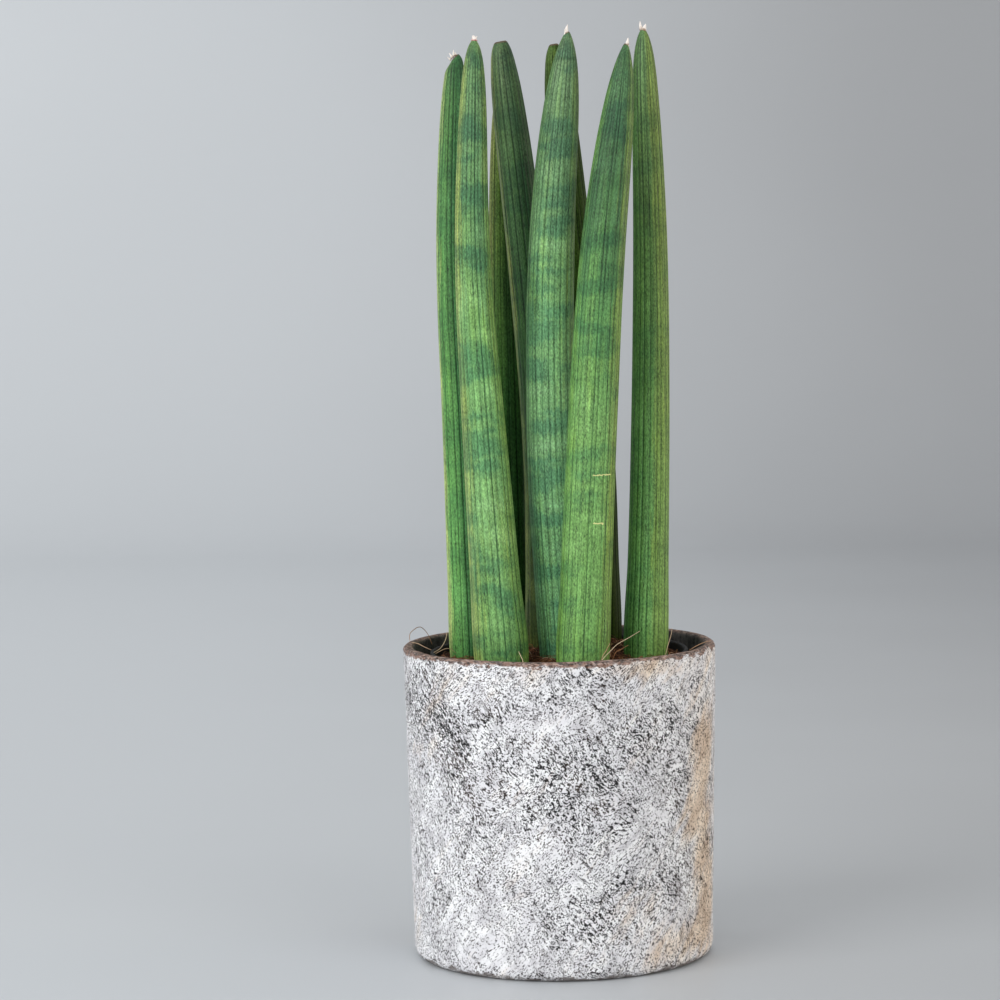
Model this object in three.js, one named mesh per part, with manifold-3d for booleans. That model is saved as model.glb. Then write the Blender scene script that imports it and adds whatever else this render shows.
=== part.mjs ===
// A potted snake plant with round, upright leaves.
// Eight leaves stand in a bed of fibrous compost, in a thin grow pot,
// which stands inside a thick-walled cover pot with a limewashed outside.
// Millimetres, +Z up. The origin is the middle of the cover pot's underside.

import * as THREE from 'three';
import { mergeVertices } from 'three/addons/utils/BufferGeometryUtils.js';
import Module from 'manifold-3d';

const wasm = await Module();
wasm.setup();

// ---------------------------------------------------------------- driving dimensions

const FIT_GAP = 0.3; // clearance between pieces that touch

// cover pot
const POT_HEIGHT = 140;
const POT_TOP_DIAMETER = 140;
const POT_FOOT_DIAMETER = 134.5;
const POT_WALL = 5;
const POT_FLOOR = 9;
const POT_FOOT_ROUND = 4.5;
const POT_RIM_ROUND = 2;
const POT_FLOOR_FILLET = 7;
const POT_SEGMENTS = 72;
const POT_FOOT_STEPS = 5; // straight steps in the foot's round
const POT_EDGE_STEPS = 3; // straight steps in each of its other rounds

// grow pot
const GROW_POT_GAP = 7; // free ring between its rim and the cover pot's wall
const GROW_POT_RIM_DROP = 3; // its rim below the cover pot's rim
const GROW_POT_FOOT_GAP = 8; // free ring between its foot and the fillet inside the cover pot
const GROW_POT_WALL = 1.2;
const GROW_POT_FLOOR = 1.6;
const GROW_POT_LIP_HEIGHT = 6;
const GROW_POT_LIP_THICKNESS = 2;
const GROW_POT_LIP_BEVEL = 0.4;
const GROW_POT_FOOT_BEVEL = 1;
const GROW_POT_SEGMENTS = 48;
const DRAIN_HOLE_DIAMETER = 9;
const DRAIN_HOLE_COUNT = 6;
const DRAIN_HOLE_INSET = 14; // from the foot's edge to a hole's centre
const DRAIN_HOLE_DEPTH = 6; // tall enough to pass right through the floor
const DRAIN_HOLE_SIDES = 14;

// compost bed
const BED_DROP = 6.5; // its edge below the cover pot's rim
const MOUND_HEIGHT = 4.6;
const MOUND_REACH = 30;
const MOUND_CENTRE = [0.14, 0.4]; // share of the bed's radius
const MOUND_FADE = 0.25; // share of the bed's radius over which the mound runs out at the edge
const BED_EDGE_HEIGHT = 1; // least height of the bed's upright edge
const BED_RINGS = 8;
const BED_SEGMENTS = 48;
const LEAF_BURIED = 18; // depth of a leaf's foot below the bed's edge

// leaves
const LEAF_SIDES = 20;
const LEAF_RINGS = [0, 3, 7, 12, 18, 26, 38, 55, 80, 115, 155, 195, 235]; // distances below the tip
const LEAF_SLANT_REACH = 8; // length of the tip that a slanting cut bends
const LEAF_FOOT_PINCH = 0.82; // the buried foot's width, as a share of the width above it

// One entry for each leaf.
//   root    where it leaves the bed, as a share of the bed's radius
//   height  of its tip above the cover pot's rim
//   lean    sideways shift from the root at one third, two thirds and all of its height
//   girth   width that the shoulder grows to, length it takes, and flare per millimetre below
//   cut     width of a blunt tip's flat end; slant is how far that end falls across it
const LEAVES = {
  leaf_far_left: {
    root: [-0.71, 0.11], height: 264, lean: [[-2.4, 1.5], [-5, 3], [-2.4, 4]],
    girth: [14.5, 7, 0.018], cut: 2.6, slant: 2.4,
  },
  leaf_front_left: {
    root: [-0.465, -0.45], height: 268.5, lean: [[-5.2, -0.5], [-9.6, 0], [-7.3, 2]],
    girth: [12.6, 6.5, 0.042], cut: 1.2, slant: 0,
  },
  leaf_back_left: {
    root: [-0.36, 0.68], height: 252, lean: [[-0.8, 0], [-1.2, 1], [0, 2]],
    girth: [15.5, 6.5, 0.01], cut: 1.6, slant: 0,
  },
  leaf_middle_left: {
    root: [-0.09, 0.36], height: 270, lean: [[-0.4, 0], [-7, 0], [-16.6, 1]],
    girth: [18.5, 9, 0.005], cut: 5.6, slant: 1,
  },
  leaf_centre: {
    root: [0.05, -0.09], height: 272, lean: [[-4.6, 0], [-3.3, 0], [5.2, -1]],
    girth: [24.5, 19, 0], cut: 1.6, slant: 0,
  },
  leaf_back_right: {
    root: [0.345, 0.68], height: 269, lean: [[-1.3, 0], [-9, -1], [-16.7, -2]],
    girth: [18, 11, 0.011], cut: 4, slant: 0.6,
  },
  leaf_front_right: {
    root: [0.175, -0.59], height: 265, lean: [[4.9, 0], [11.4, 0], [22.9, 2]],
    girth: [24.2, 23, 0.003], cut: 1.6, slant: 0,
  },
  leaf_far_right: {
    root: [0.695, -0.07], height: 273, lean: [[3.2, 0], [4.6, 1], [2.7, 2]],
    girth: [14.6, 9, 0.019], cut: 1.4, slant: 0,
  },
};

// Loose coir strands, each a thin bent tube.
const STRAND_THICKNESS = 0.7;
const STRAND_SIDES = 6;
const STRAND_STEPS = 10;

// Points of a strand beside a leaf: angle around the leaf, share of the way from its skin out to the
// grow pot's lip, height above `on`, which is the compost bed's edge or the grow pot's rim.
const STRANDS_BY_LEAF = [
  {
    leaf: 'leaf_far_left',
    on: 'rim',
    points: [[224, 1.12, 0.64], [222, 0.76, 2], [209, 0.36, 5.4], [192, 0.18, 8.3]],
  },
  {
    leaf: 'leaf_far_left',
    on: 'rim',
    points: [[230, 1.06, 0.63], [235, 0.64, 2.3], [238, 0.39, 1.7], [241, 0.23, -0.4]],
  },
  {
    leaf: 'leaf_front_right',
    on: 'bed',
    points: [
      [-71, 0.6, 0.52], [-63, 0.48, 4.1], [-38, 0.24, 7.6], [-4, 0.15, 9.6], [17, 0.28, 11.3], [27, 0.43, 13.5],
    ],
  },
  {
    leaf: 'leaf_front_right',
    on: 'bed',
    points: [[-63, 0.38, 0.42], [-58, 0.33, 5.6], [-48, 0.26, 8.3], [-38, 0.21, 11.1]],
  },
  {
    leaf: 'leaf_front_right',
    on: 'bed',
    points: [[-22, 0.09, 0.53], [-12, 0.14, 5.9], [10, 0.19, 6.9], [24, 0.28, 7.8]],
  },
  {
    leaf: 'leaf_far_right',
    on: 'bed',
    points: [[-54, 0.33, 0.56], [-50, 0.31, 2.7], [-41, 0.27, 5.5], [-24, 0.3, 10.5], [-10, 0.27, 12.8]],
  },
  {
    leaf: 'leaf_front_left',
    on: 'bed',
    points: [[-69, 0.88, 0.41], [-70, 0.83, 5.6], [-68, 0.57, 7.1], [-65, 0.34, 8.3]],
  },
];

// Points of a strand on the cover pot's rim: angle around the pot, distance outside the mouth's wall,
// height above the rim.
const STRANDS_BY_RIM = [
  [[174, 2.5, 0.55], [171, 3.2, 3.2], [167, 2.6, 4.8], [162, 0.8, 5.6], [159, -1.4, 2], [158, -3, -3]],
  [[175, 1.5, 0.54], [178, -1.6, 0.3], [182, -4.4, -0.6], [184, -7.6, -1.9]],
  [[-28, -0.7, -0.6], [-20, 0, 0.6], [-13, 1.6, 1], [-7, 3.2, 0.6]],
];

// ---------------------------------------------------------------- sizes worked out from them

const POT_TOP_RADIUS = POT_TOP_DIAMETER / 2;
const POT_FOOT_RADIUS = POT_FOOT_DIAMETER / 2;
const MOUTH_RADIUS = POT_TOP_RADIUS - POT_WALL;
const POT_INNER_FOOT_RADIUS = POT_FOOT_RADIUS - POT_WALL;
const GROW_RIM_RADIUS = MOUTH_RADIUS - GROW_POT_GAP;
const GROW_FOOT_RADIUS = POT_INNER_FOOT_RADIUS - POT_FLOOR_FILLET - GROW_POT_FOOT_GAP;
const GROW_BASE_Z = POT_FLOOR + FIT_GAP;
const GROW_RIM_Z = POT_HEIGHT - GROW_POT_RIM_DROP;
const LIP_FOOT_Z = GROW_RIM_Z - GROW_POT_LIP_HEIGHT;
const BED_RADIUS = GROW_RIM_RADIUS - GROW_POT_LIP_THICKNESS - FIT_GAP;
const BED_FOOT_RADIUS = GROW_FOOT_RADIUS - GROW_POT_WALL - FIT_GAP;
const BED_BASE_Z = GROW_BASE_Z + GROW_POT_FLOOR + FIT_GAP;
const BED_EDGE_Z = POT_HEIGHT - BED_DROP;
const LEAF_FOOT_Z = BED_EDGE_Z - LEAF_BURIED;

// ---------------------------------------------------------------- materials

const finish = (color, roughness) => new THREE.MeshStandardMaterial({ color, roughness, metalness: 0 });

const LIMEWASH = finish(0xcfcac6, 0.9);
const BLACK_PLASTIC = finish(0x1d1d1e, 0.55);
const COMPOST = finish(0x3c2418, 1);
const LEAF_GREEN = finish(0x3f7a45, 0.5);
const DRY_STRAND = finish(0xb59a78, 0.85);

// ---------------------------------------------------------------- helpers

const arc = (cx, cy, radius, from, to, steps) => {
  const points = [];
  for (let i = 0; i <= steps; i += 1) {
    const angle = THREE.MathUtils.degToRad(from + ((to - from) * i) / steps);
    points.push(new THREE.Vector2(cx + radius * Math.cos(angle), cy + radius * Math.sin(angle)));
  }
  return points;
};

// A profile of [radius, height] points turned about the upright axis.
function turned(profile, segments) {
  const geometry = new THREE.LatheGeometry(profile, segments);
  geometry.rotateX(Math.PI / 2);
  return geometry;
}

// Moves every vertex of a geometry by a function of its place.
function reshaped(geometry, move) {
  const position = geometry.getAttribute('position');
  const point = new THREE.Vector3();
  for (let i = 0; i < position.count; i += 1) {
    point.fromBufferAttribute(position, i);
    move(point);
    position.setXYZ(i, point.x, point.y, point.z);
  }
  return geometry;
}

function toSolid(geometry) {
  const bare = geometry.clone();
  bare.deleteAttribute('normal');
  bare.deleteAttribute('uv');
  const merged = mergeVertices(bare, 1e-4);
  const mesh = new wasm.Mesh({
    numProp: 3,
    vertProperties: new Float32Array(merged.getAttribute('position').array),
    triVerts: new Uint32Array(merged.index.array),
  });
  mesh.merge();
  return new wasm.Manifold(mesh);
}

function toGeometry(solid) {
  const mesh = solid.getMesh();
  const geometry = new THREE.BufferGeometry();
  geometry.setAttribute('position', new THREE.BufferAttribute(new Float32Array(mesh.vertProperties), 3));
  geometry.setIndex(new THREE.BufferAttribute(new Uint32Array(mesh.triVerts), 1));
  geometry.computeVertexNormals();
  return geometry;
}

const plant = new THREE.Group();

function addPiece(name, geometry, material) {
  const mesh = new THREE.Mesh(geometry, material);
  mesh.name = name;
  plant.add(mesh);
}

// ---------------------------------------------------------------- cover pot

function coverPot() {
  const foot = POT_FOOT_RADIUS - POT_FOOT_ROUND;
  const lip = POT_TOP_RADIUS - POT_RIM_ROUND;
  const lipInside = MOUTH_RADIUS + POT_RIM_ROUND;
  const shoulder = POT_HEIGHT - POT_RIM_ROUND;
  const floorEdge = POT_INNER_FOOT_RADIUS - POT_FLOOR_FILLET;
  const profile = [
    new THREE.Vector2(0, 0),
    ...arc(foot, POT_FOOT_ROUND, POT_FOOT_ROUND, -90, 0, POT_FOOT_STEPS),
    ...arc(lip, shoulder, POT_RIM_ROUND, 0, 90, POT_EDGE_STEPS),
    ...arc(lipInside, shoulder, POT_RIM_ROUND, 90, 180, POT_EDGE_STEPS),
    ...arc(floorEdge, POT_FLOOR + POT_FLOOR_FILLET, POT_FLOOR_FILLET, 0, -90, POT_EDGE_STEPS),
    new THREE.Vector2(0, POT_FLOOR),
  ];
  return turned(profile, POT_SEGMENTS);
}

// ---------------------------------------------------------------- grow pot

function growPotShell() {
  const bevel = GROW_POT_LIP_BEVEL;
  const lipInside = GROW_RIM_RADIUS - GROW_POT_LIP_THICKNESS;
  const floorTop = GROW_BASE_Z + GROW_POT_FLOOR;
  const profile = [
    new THREE.Vector2(0, GROW_BASE_Z),
    new THREE.Vector2(GROW_FOOT_RADIUS - GROW_POT_FOOT_BEVEL, GROW_BASE_Z),
    new THREE.Vector2(GROW_FOOT_RADIUS, GROW_BASE_Z + GROW_POT_FOOT_BEVEL),
    new THREE.Vector2(lipInside + GROW_POT_WALL, LIP_FOOT_Z),
    new THREE.Vector2(GROW_RIM_RADIUS, LIP_FOOT_Z + bevel),
    new THREE.Vector2(GROW_RIM_RADIUS, GROW_RIM_Z - bevel),
    new THREE.Vector2(GROW_RIM_RADIUS - bevel, GROW_RIM_Z),
    new THREE.Vector2(lipInside + bevel, GROW_RIM_Z),
    new THREE.Vector2(lipInside, GROW_RIM_Z - bevel),
    new THREE.Vector2(lipInside, LIP_FOOT_Z),
    new THREE.Vector2(GROW_FOOT_RADIUS - GROW_POT_WALL, floorTop),
    new THREE.Vector2(0, floorTop),
  ];
  return turned(profile, GROW_POT_SEGMENTS);
}

function growPot() {
  let pot = toSolid(growPotShell());
  const radius = DRAIN_HOLE_DIAMETER / 2;
  const reach = GROW_FOOT_RADIUS - DRAIN_HOLE_INSET;
  for (let i = 0; i < DRAIN_HOLE_COUNT; i += 1) {
    const angle = (2 * Math.PI * i) / DRAIN_HOLE_COUNT;
    const hole = new THREE.CylinderGeometry(radius, radius, DRAIN_HOLE_DEPTH, DRAIN_HOLE_SIDES);
    hole.rotateX(Math.PI / 2);
    hole.translate(reach * Math.cos(angle), reach * Math.sin(angle), GROW_BASE_Z);
    pot = pot.subtract(toSolid(hole));
  }
  return toGeometry(pot);
}

// ---------------------------------------------------------------- leaves

// Width of a leaf at a distance below its tip.
function leafWidth({ girth: [shoulder, reach, flare], cut }, below) {
  const start = (reach * cut) / shoulder;
  return (shoulder * (below + start)) / (below + start + reach) + flare * below;
}

// Centre line of a leaf, from its root at the bed's level to its tip.
function leafLine({ root, height, lean }) {
  const base = new THREE.Vector3(root[0] * BED_RADIUS, root[1] * BED_RADIUS, BED_EDGE_Z);
  const rise = POT_HEIGHT + height - BED_EDGE_Z;
  const points = lean.map(([x, y], i) => new THREE.Vector3(x, y, (rise * (i + 1)) / lean.length).add(base));
  return new THREE.CatmullRomCurve3([base, ...points], false, 'catmullrom', 0.5);
}

// Sideways place of the centre line at a height.
function leafPlace(line, z) {
  const base = line.points[0];
  const tip = line.points[line.points.length - 1];
  const share = THREE.MathUtils.clamp((z - base.z) / (tip.z - base.z), 0, 1);
  return line.getPoint(share);
}

// A leaf is turned as an upright spindle and then leant along its centre line.
function leafGeometry(leaf, clearance) {
  const line = leafLine(leaf);
  const tipZ = POT_HEIGHT + leaf.height;
  const profile = LEAF_RINGS.map((below) => new THREE.Vector2(leafWidth(leaf, below) / 2, tipZ - below));
  const neck = leafWidth(leaf, tipZ - BED_EDGE_Z) / 2;
  profile.push(new THREE.Vector2(neck, BED_EDGE_Z));
  profile.push(new THREE.Vector2(neck * LEAF_FOOT_PINCH, LEAF_FOOT_Z));
  profile.reverse();
  profile.forEach((point) => { point.x += clearance; });
  profile[0].y -= clearance;
  profile.unshift(new THREE.Vector2(0, profile[0].y));
  profile.push(new THREE.Vector2(0, tipZ));
  return reshaped(turned(profile, LEAF_SIDES), (point) => {
    const fall = leaf.slant * THREE.MathUtils.clamp(1 - (tipZ - point.z) / LEAF_SLANT_REACH, 0, 1);
    const place = leafPlace(line, point.z);
    point.z -= fall * (0.5 - point.x / leaf.cut);
    point.x += place.x;
    point.y += place.y;
  });
}

// ---------------------------------------------------------------- compost bed

function moundRise(x, y) {
  const dx = x - MOUND_CENTRE[0] * BED_RADIUS;
  const dy = y - MOUND_CENTRE[1] * BED_RADIUS;
  const fade = Math.min(1, (1 - Math.hypot(x, y) / BED_RADIUS) / MOUND_FADE);
  return MOUND_HEIGHT * fade * Math.exp(-(dx * dx + dy * dy) / MOUND_REACH ** 2);
}

function compostBed() {
  const profile = [
    new THREE.Vector2(0, BED_BASE_Z),
    new THREE.Vector2(BED_FOOT_RADIUS, BED_BASE_Z),
    new THREE.Vector2(BED_RADIUS, Math.min(LIP_FOOT_Z, BED_EDGE_Z - BED_EDGE_HEIGHT)),
  ];
  for (let i = 0; i <= BED_RINGS; i += 1) {
    profile.push(new THREE.Vector2(BED_RADIUS * (1 - i / BED_RINGS), BED_EDGE_Z));
  }
  const heap = reshaped(turned(profile, BED_SEGMENTS), (point) => {
    if (point.z > BED_EDGE_Z - BED_EDGE_HEIGHT / 2) {
      point.z += moundRise(point.x, point.y);
    }
  });
  let bed = toSolid(heap);
  Object.values(LEAVES).forEach((leaf) => {
    bed = bed.subtract(toSolid(leafGeometry(leaf, FIT_GAP)));
  });
  return toGeometry(bed);
}

// ---------------------------------------------------------------- loose strands

function strandTube(points) {
  const section = new THREE.Shape();
  for (let i = 0; i < STRAND_SIDES; i += 1) {
    const angle = (2 * Math.PI * i) / STRAND_SIDES;
    const corner = [(STRAND_THICKNESS / 2) * Math.cos(angle), (STRAND_THICKNESS / 2) * Math.sin(angle)];
    if (i === 0) section.moveTo(...corner);
    else section.lineTo(...corner);
  }
  const route = new THREE.CatmullRomCurve3(points);
  return new THREE.ExtrudeGeometry(section, { steps: STRAND_STEPS, bevelEnabled: false, extrudePath: route });
}

function strandByLeaf({ leaf: name, on, points }) {
  const leaf = LEAVES[name];
  const line = leafLine(leaf);
  const level = on === 'bed' ? BED_EDGE_Z : GROW_RIM_Z;
  const lip = GROW_RIM_RADIUS - GROW_POT_LIP_THICKNESS;
  return strandTube(points.map(([degrees, share, up]) => {
    const angle = THREE.MathUtils.degToRad(degrees);
    const side = new THREE.Vector2(Math.cos(angle), Math.sin(angle));
    const place = leafPlace(line, level + up);
    const middle = new THREE.Vector2(place.x, place.y);
    const skin = leafWidth(leaf, POT_HEIGHT + leaf.height - level - up) / 2;
    const toLip = Math.sqrt(lip ** 2 - side.cross(middle) ** 2) - side.dot(middle);
    const point = middle.addScaledVector(side, THREE.MathUtils.lerp(skin, toLip, share));
    return new THREE.Vector3(point.x, point.y, level + up);
  }));
}

function strandByRim(points) {
  return strandTube(points.map(([degrees, out, up]) => {
    const angle = THREE.MathUtils.degToRad(degrees);
    const reach = MOUTH_RADIUS + out;
    return new THREE.Vector3(reach * Math.cos(angle), reach * Math.sin(angle), POT_HEIGHT + up);
  }));
}

// ---------------------------------------------------------------- assembly

addPiece('cover_pot', coverPot(), LIMEWASH);
addPiece('grow_pot', growPot(), BLACK_PLASTIC);
addPiece('compost_bed', compostBed(), COMPOST);
Object.entries(LEAVES).forEach(([name, leaf]) => addPiece(name, leafGeometry(leaf, 0), LEAF_GREEN));
[...STRANDS_BY_LEAF.map(strandByLeaf), ...STRANDS_BY_RIM.map(strandByRim)].forEach((strand, i) => {
  addPiece(`coir_strand_${i + 1}`, strand, DRY_STRAND);
});

export default plant;
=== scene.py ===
"""A potted snake plant: eight round upright leaves in compost, a black grow pot and a limewashed cover pot.

Metres, +Z up, the origin in the middle of the cover pot's underside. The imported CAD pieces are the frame:
every finished piece is built from its own CAD piece's mesh, and stands for it.
"""

import math
import random

import bmesh
import bpy
import numpy as np
from mathutils import Matrix, Vector, noise
from mathutils.bvhtree import BVHTree


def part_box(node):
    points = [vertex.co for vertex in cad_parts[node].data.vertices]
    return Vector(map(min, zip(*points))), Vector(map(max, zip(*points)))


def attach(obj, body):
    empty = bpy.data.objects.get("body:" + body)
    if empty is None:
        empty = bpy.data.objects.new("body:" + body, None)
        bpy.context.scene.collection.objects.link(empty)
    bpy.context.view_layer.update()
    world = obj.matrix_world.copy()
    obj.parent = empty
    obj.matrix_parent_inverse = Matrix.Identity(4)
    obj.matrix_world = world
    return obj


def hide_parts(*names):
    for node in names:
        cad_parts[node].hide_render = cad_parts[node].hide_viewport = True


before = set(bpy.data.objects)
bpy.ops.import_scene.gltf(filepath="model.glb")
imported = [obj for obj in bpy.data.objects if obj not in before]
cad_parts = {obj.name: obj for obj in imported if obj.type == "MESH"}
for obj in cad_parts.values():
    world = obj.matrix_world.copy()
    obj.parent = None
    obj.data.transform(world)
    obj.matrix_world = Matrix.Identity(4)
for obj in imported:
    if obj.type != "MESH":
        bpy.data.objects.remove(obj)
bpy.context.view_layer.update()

MM = 0.001


# ---------------- mixing finishes

def paint(red, green, blue):
    """A screen colour, 0 to 255, as the linear colour that a shader takes."""
    channels = []
    for value in (red, green, blue):
        share = value / 255
        channels.append(share / 12.92 if share <= 0.04045 else ((share + 0.055) / 1.055) ** 2.4)
    return tuple(channels)


class Value:
    """What comes out of a node. Arithmetic on it adds Math nodes."""

    def __init__(self, finish, socket):
        self.finish = finish
        self.socket = socket

    def math(self, operation, *others):
        return self.finish.math(operation, self, *others)

    def __add__(self, other):
        return self.math("ADD", other)

    def __sub__(self, other):
        return self.math("SUBTRACT", other)

    def __mul__(self, other):
        return self.math("MULTIPLY", other)

    def __truediv__(self, other):
        return self.math("DIVIDE", other)

    def __rsub__(self, other):
        return self.finish.math("SUBTRACT", other, self)

    __radd__ = __add__

    def size(self):
        return self.math("ABSOLUTE")

    def most(self, other):
        return self.math("MAXIMUM", other)

    def step(self, start, end):
        """0 before start and 1 after end, easing between them; start may be the larger."""
        low, high, before, after = (start, end, 0, 1)
        if not isinstance(start, Value) and not isinstance(end, Value) and start > end:
            low, high, before, after = (end, start, 1, 0)
        return self.finish.node(
            "ShaderNodeMapRange",
            {"interpolation_type": "SMOOTHSTEP"},
            {"Value": self, "From Min": low, "From Max": high, "To Min": before, "To Max": after},
        )


class Finish:
    """One material, mixed from nodes."""

    def __init__(self, name):
        self.material = bpy.data.materials.new(name)
        self.material.use_nodes = True
        self.tree = self.material.node_tree
        self.tree.nodes.clear()

    def node(self, kind, settings=None, inputs=None, output=0):
        """Adds a node: its settings are set first, then its sockets' numbers or links."""
        made = self.tree.nodes.new(kind)
        for name, value in (settings or {}).items():
            if name == "stops":
                self.set_stops(made.color_ramp, value)
            else:
                setattr(made, name, value)
        for name, value in (inputs or {}).items():
            socket = made.inputs[name]
            if isinstance(value, Value):
                self.tree.links.new(value.socket, socket)
            elif socket.type == "RGBA":
                socket.default_value = (*value, 1)
            else:
                socket.default_value = value
        return Value(self, made.outputs[output])

    @staticmethod
    def set_stops(ramp, stops):
        while len(ramp.elements) < len(stops):
            ramp.elements.new(1)
        for element, (position, colour) in zip(ramp.elements, stops):
            element.position = position
            element.color = (*colour, 1)

    def math(self, operation, *values):
        return self.node("ShaderNodeMath", {"operation": operation}, dict(enumerate(values)))

    def mix(self, share, first, second, blend="MIX"):
        """A colour between two colours."""
        settings = {"data_type": "RGBA", "blend_type": blend}
        return self.node("ShaderNodeMix", settings, {0: share, 6: first, 7: second}, output=2)

    def scale(self, colour, amount):
        """A colour made lighter or darker by a number that varies."""
        return self.node("ShaderNodeVectorMath", {"operation": "SCALE"}, {0: colour, "Scale": amount})

    def place(self):
        """The point on the surface, in metres."""
        return self.node("ShaderNodeTexCoord", output="Object")

    def attribute(self, name, output="Fac"):
        return self.node("ShaderNodeAttribute", {"attribute_name": name}, output=output)

    def parts(self, vector):
        """A vector's three numbers."""
        made = self.node("ShaderNodeSeparateXYZ", inputs={"Vector": vector})
        sockets = made.socket.node.outputs
        return [Value(self, sockets[i]) for i in range(3)]

    def join(self, x, y, z):
        return self.node("ShaderNodeCombineXYZ", inputs={"X": x, "Y": y, "Z": z})

    def stretch(self, vector, scale, shift=(0, 0, 0)):
        """A vector scaled along each axis, and then shifted."""
        return self.node(
            "ShaderNodeVectorMath", {"operation": "MULTIPLY_ADD"}, {0: vector, 1: scale, 2: shift}
        )

    def noise(self, vector, scale=1.0, detail=2.0, rough=0.5, wander=0.0):
        inputs = {"Vector": vector, "Scale": scale, "Detail": detail, "Roughness": rough}
        return self.node("ShaderNodeTexNoise", inputs={**inputs, "Distortion": wander})

    def bump(self, height, depth, strength):
        return self.node("ShaderNodeBump", inputs={"Height": height, "Distance": depth, "Strength": strength})

    def close(self, shine, colour, rough, normal=None):
        """Ends the material in one Principled shader."""
        inputs = {"Base Color": colour, "Roughness": rough, "Specular IOR Level": shine}
        if normal:
            inputs["Normal"] = normal
        shader = self.node("ShaderNodeBsdfPrincipled", inputs=inputs)
        end = self.tree.nodes.new("ShaderNodeOutputMaterial")
        self.tree.links.new(shader.socket, end.inputs["Surface"])
        return self.material


# ---------------- reading the CAD pieces

def points_of(node):
    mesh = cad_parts[node].data
    points = np.zeros(len(mesh.vertices) * 3)
    mesh.vertices.foreach_get("co", points)
    return points.reshape(-1, 3)


def radius_between(node, low, high):
    """Least and greatest distance from the upright axis of a CAD piece's points between two heights."""
    points = points_of(node)
    level = points[(points[:, 2] > low) & (points[:, 2] < high)]
    distance = np.hypot(level[:, 0], level[:, 1])
    return float(distance.min()), float(distance.max())


def through(knots, values, at):
    """A smooth curve through values at the knots, read at other places."""
    knots = np.asarray(knots, float)
    values = np.asarray(values, float)
    at = np.clip(np.asarray(at, float), knots[0], knots[-1])
    gaps = np.diff(knots)
    slopes = np.diff(values) / gaps
    tangent = np.empty_like(values)
    tangent[0], tangent[-1] = slopes[0], slopes[-1]
    tangent[1:-1] = (slopes[:-1] * gaps[1:] + slopes[1:] * gaps[:-1]) / (gaps[:-1] + gaps[1:])
    i = np.clip(np.searchsorted(knots, at, "right") - 1, 0, len(gaps) - 1)
    gap = gaps[i]
    t = (at - knots[i]) / gap
    return (
        values[i] * (1 + 2 * t) * (1 - t) ** 2
        + tangent[i] * gap * t * (1 - t) ** 2
        + values[i + 1] * t * t * (3 - 2 * t)
        + tangent[i + 1] * gap * t * t * (t - 1)
    )


def smooth(low, high, value):
    t = np.clip((value - low) / (high - low), 0, 1)
    return t * t * (3 - 2 * t)


# ---------------- making meshes

def show(name, data):
    """Puts a mesh, lamp or camera into the scene as an object."""
    thing = bpy.data.objects.new(name, data)
    bpy.context.scene.collection.objects.link(thing)
    return thing


def make_piece(name, points, faces, material, **attributes):
    """A mesh object. Each attribute holds one number, or one vector, for each point."""
    mesh = bpy.data.meshes.new(name)
    mesh.from_pydata([tuple(p) for p in points], [], faces)
    for label, values in attributes.items():
        values = np.asarray(values, np.float32)
        if values.ndim == 2:
            mesh.attributes.new(label, "FLOAT_VECTOR", "POINT").data.foreach_set("vector", values.ravel())
        else:
            mesh.attributes.new(label, "FLOAT", "POINT").data.foreach_set("value", values)
    mesh.polygons.foreach_set("use_smooth", [True] * len(mesh.polygons))
    mesh.materials.append(material)
    mesh.update()
    return show(name, mesh)


def grid_faces(rows, columns):
    """Quads of a grid whose columns close on themselves. Rows run up a surface seen from outside."""
    faces = []
    for i in range(rows - 1):
        for j in range(columns):
            a, b = i * columns + j, i * columns + (j + 1) % columns
            faces.append((a, b, b + columns, a + columns))
    return faces


def capped_faces(rows, columns):
    """The same, with one flat face across each end."""
    last = (rows - 1) * columns
    ends = [tuple(reversed(range(columns))), tuple(range(last, last + columns))]
    return grid_faces(rows, columns) + ends


def ring_points(reach, level, columns):
    """Points evenly round the upright axis, as (x, y, z)."""
    turns = [2 * math.pi * j / columns for j in range(columns)]
    return [(reach * math.cos(turn), reach * math.sin(turn), level) for turn in turns]


def fan_faces(ring, columns, centre, under):
    """Triangles from a ring of points to a point in its middle, seen from under or from over."""
    faces = []
    for j in range(columns):
        a, b = ring + j, ring + (j + 1) % columns
        faces.append((b, a, centre) if under else (a, b, centre))
    return faces


def stand_for(piece, node):
    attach(piece, "root")
    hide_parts(node)


def tube(path, radii, sides):
    """Points and faces of a closed tube along a path, round, with a radius at each point of the path."""
    path = [Vector(p) for p in path]
    points = []
    across = None
    for i, middle in enumerate(path):
        ahead = (path[min(i + 1, len(path) - 1)] - path[max(i - 1, 0)]).normalized()
        if across is None:
            across = ahead.orthogonal().normalized()
        across = (across - ahead * across.dot(ahead)).normalized()
        up = ahead.cross(across)
        for k in range(sides):
            turn = 2 * math.pi * k / sides
            points.append(middle + (across * math.cos(turn) + up * math.sin(turn)) * radii[i])
    return points, capped_faces(len(path), sides)


# ---------------- cover pot

POT_COLUMNS = 400
POT_ROW_STEP = 1.15 * MM
POT_RIM_ROUND = 2 * MM
POT_FOOT_ROUND = 4.5 * MM
POT_FLOOR = 9 * MM
POT_FLOOR_FILLET = 7 * MM
POT_WOBBLE = 0.35 * MM
POT_FOOT_STEPS = 8
POT_RIM_STEPS = 6
POT_INSIDE_ROWS = 34

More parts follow.
